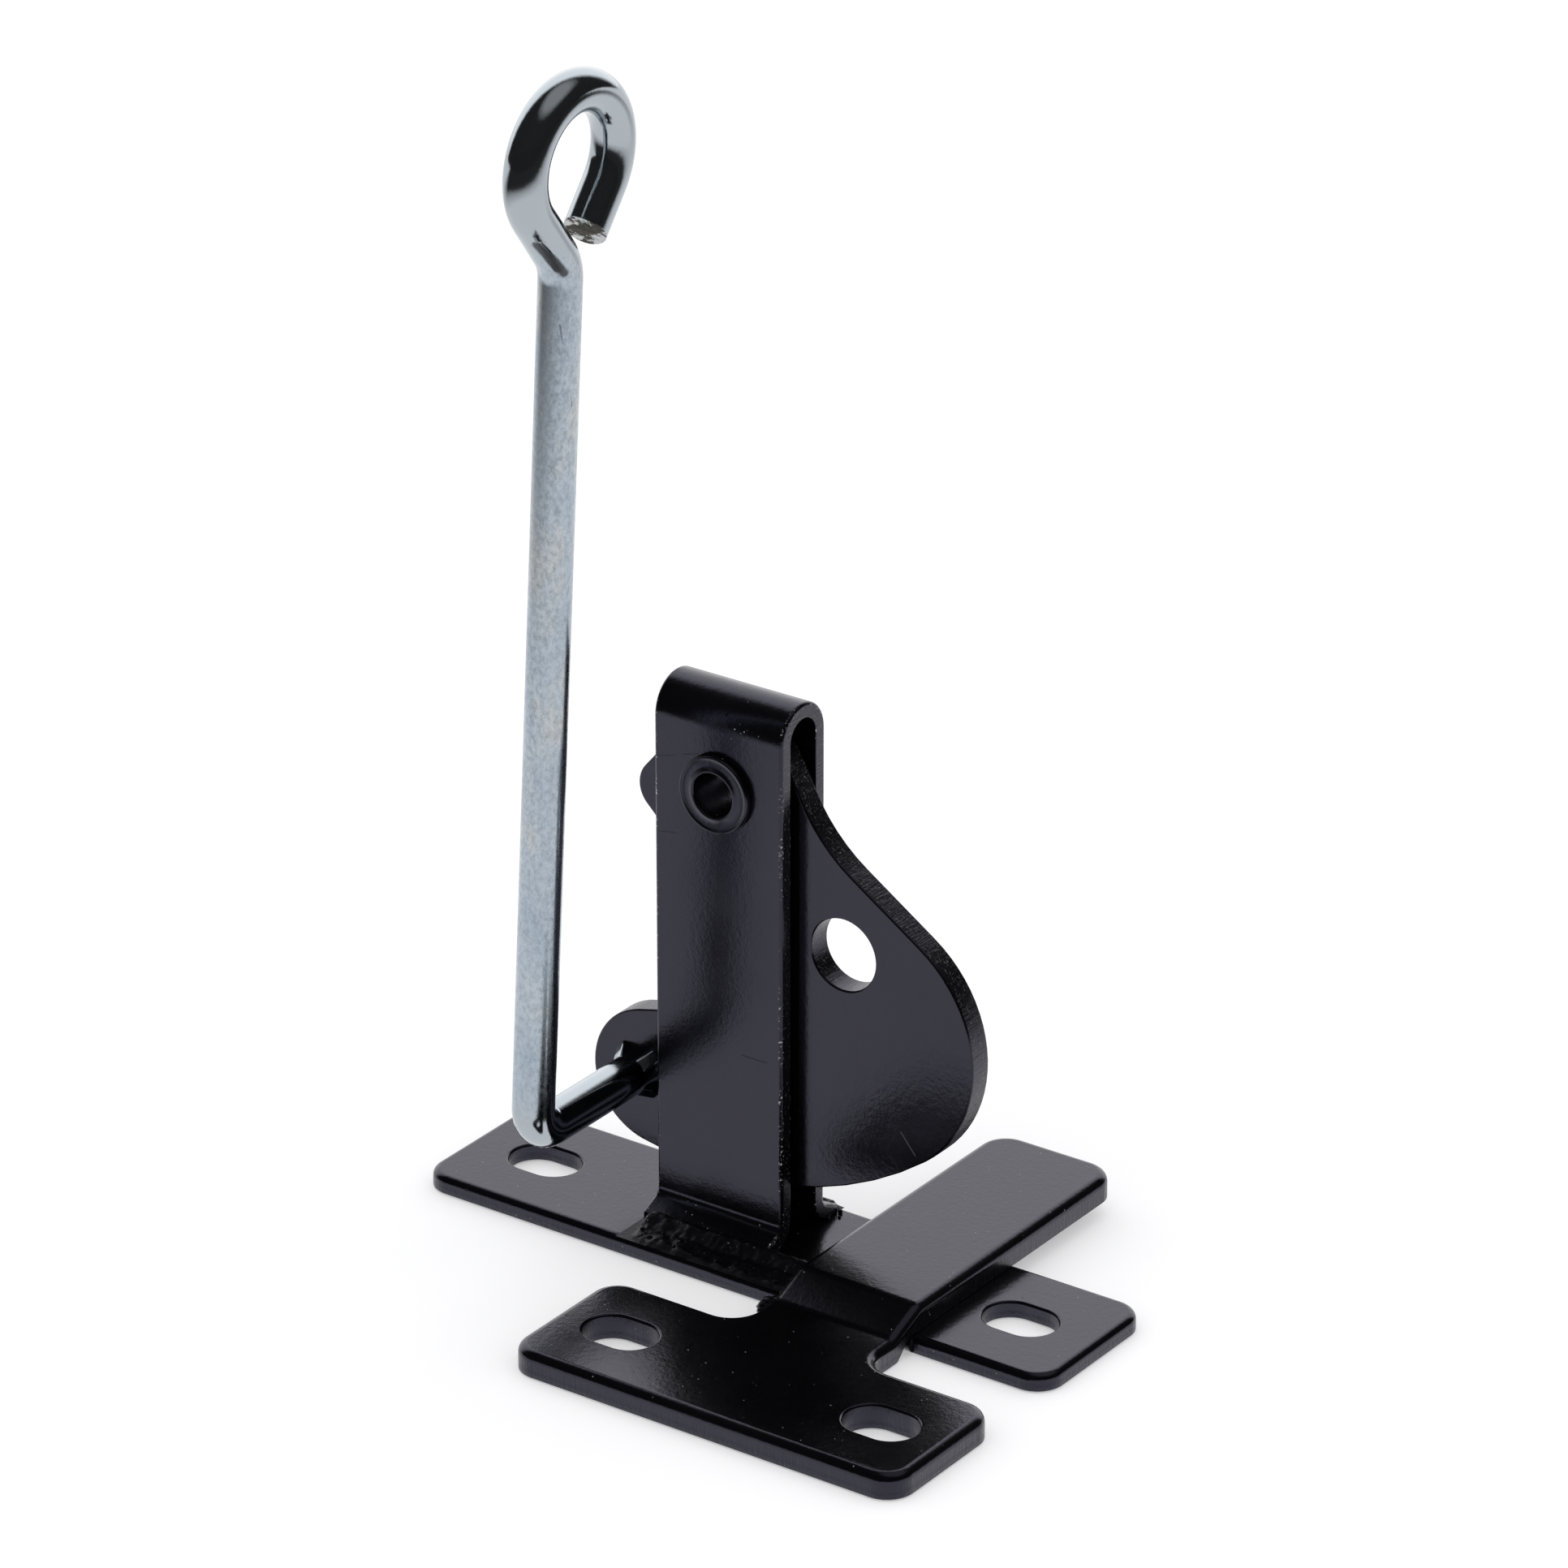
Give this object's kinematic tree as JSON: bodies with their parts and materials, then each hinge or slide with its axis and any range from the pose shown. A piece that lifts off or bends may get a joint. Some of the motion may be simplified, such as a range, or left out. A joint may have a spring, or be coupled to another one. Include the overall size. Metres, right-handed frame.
{
  "type": "gravity latch",
  "caption": "Gravity gate latch: a plate pawl pivots in a folded housing on slotted crossbars and is lifted by a pull rod with an eye.",
  "frame": {"origin": "centre of the rear crossbar's two slots, on the flat back face that rests on the post", "axes": "+X along the crossbars towards the stop plate's tongue, and down when the latch is mounted; +Y along the tongue towards the gate; +Z off the mounting face, along the pull rod"},
  "size_m": [0.106, 0.0871, 0.1775],
  "materials": {
    "black_coat": "gloss black dip coat",
    "bare_zinc": "bright zinc plate, slightly blue"
  },
  "bodies": {
    "bracket": {"rear_crossbar": "black_coat", "stop_plate": "black_coat", "pawl_housing": "black_coat", "front_toe_weld": "black_coat", "rear_toe_weld": "black_coat", "neck_weld": "black_coat", "pivot_rivet": "black_coat"},
    "pawl": {"pawl": "black_coat", "pull_rod": "bare_zinc"}
  },
  "joints": [
    {"name": "pawl_pivot", "type": "hinge", "parent": "bracket", "child": "pawl", "pos_m": [-0.0082, 0.00245, 0.0696], "axis": [0, 1, 0], "range_deg": [0, 53]}
  ]
}
